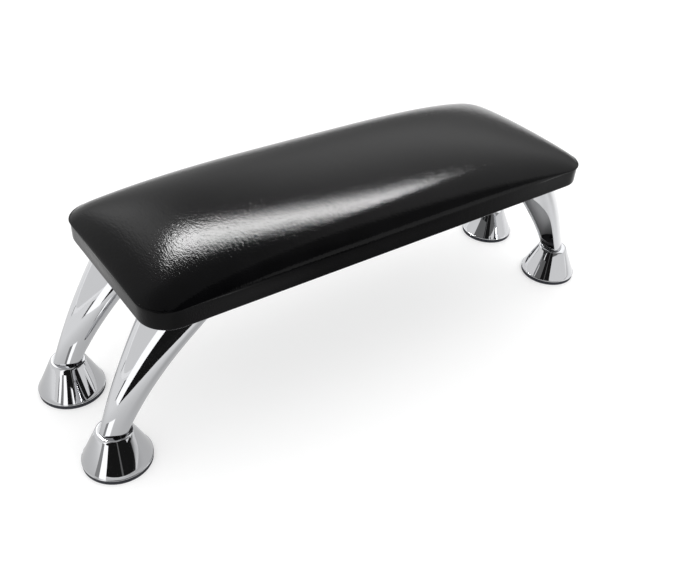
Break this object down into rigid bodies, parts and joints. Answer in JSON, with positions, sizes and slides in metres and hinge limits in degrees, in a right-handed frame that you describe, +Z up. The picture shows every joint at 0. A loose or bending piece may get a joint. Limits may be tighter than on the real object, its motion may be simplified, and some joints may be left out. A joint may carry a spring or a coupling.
{
  "type": "manicure arm rest stand",
  "caption": "Low padded arm rest for manicures: a crowned leather cushion on curved, flared chrome horn legs that stand in cone-shaped cup feet with rubber pads.",
  "frame": {"origin": "on the floor, under the middle of the stand", "axes": "+X along the rest, +Y towards the back long side, +Z up"},
  "size_m": [0.495, 0.1458, 0.1627],
  "materials": {
    "black_leather": "glossy black synthetic leather",
    "cream_foam": "soft open-cell foam",
    "plywood": "bare plywood",
    "black_non_woven": "matt non-woven sheet",
    "polished_chrome": "mirror polish",
    "zinc_plated_steel": "bright zinc plate",
    "dark_rubber": "matt dark rubber"
  },
  "bodies": {
    "root": {"leather_cover": "black_leather", "foam_core": "cream_foam", "base_board": "plywood", "dust_cover": "black_non_woven", "front_left_leg_horn": "polished_chrome", "front_left_leg_plug": "zinc_plated_steel", "front_left_mount_plate": "zinc_plated_steel", "front_left_plate_screw_1": "zinc_plated_steel", "front_left_plate_screw_2": "zinc_plated_steel", "front_left_plate_screw_3": "zinc_plated_steel", "front_left_plate_screw_4": "zinc_plated_steel", "front_left_foot_screw": "zinc_plated_steel", "front_left_foot_cup": "polished_chrome", "front_left_foot_pad": "dark_rubber", "front_right_leg_horn": "polished_chrome", "front_right_leg_plug": "zinc_plated_steel", "front_right_mount_plate": "zinc_plated_steel", "front_right_plate_screw_1": "zinc_plated_steel", "front_right_plate_screw_2": "zinc_plated_steel", "front_right_plate_screw_3": "zinc_plated_steel", "front_right_plate_screw_4": "zinc_plated_steel", "front_right_foot_screw": "zinc_plated_steel", "front_right_foot_cup": "polished_chrome", "front_right_foot_pad": "dark_rubber", "back_left_leg_horn": "polished_chrome", "back_left_leg_plug": "zinc_plated_steel", "back_left_mount_plate": "zinc_plated_steel", "back_left_plate_screw_1": "zinc_plated_steel", "back_left_plate_screw_2": "zinc_plated_steel", "back_left_plate_screw_3": "zinc_plated_steel", "back_left_plate_screw_4": "zinc_plated_steel", "back_left_foot_screw": "zinc_plated_steel", "back_left_foot_cup": "polished_chrome", "back_left_foot_pad": "dark_rubber", "back_right_leg_horn": "polished_chrome", "back_right_leg_plug": "zinc_plated_steel", "back_right_mount_plate": "zinc_plated_steel", "back_right_plate_screw_1": "zinc_plated_steel", "back_right_plate_screw_2": "zinc_plated_steel", "back_right_plate_screw_3": "zinc_plated_steel", "back_right_plate_screw_4": "zinc_plated_steel", "back_right_foot_screw": "zinc_plated_steel", "back_right_foot_cup": "polished_chrome", "back_right_foot_pad": "dark_rubber"}
  },
  "joints": []
}
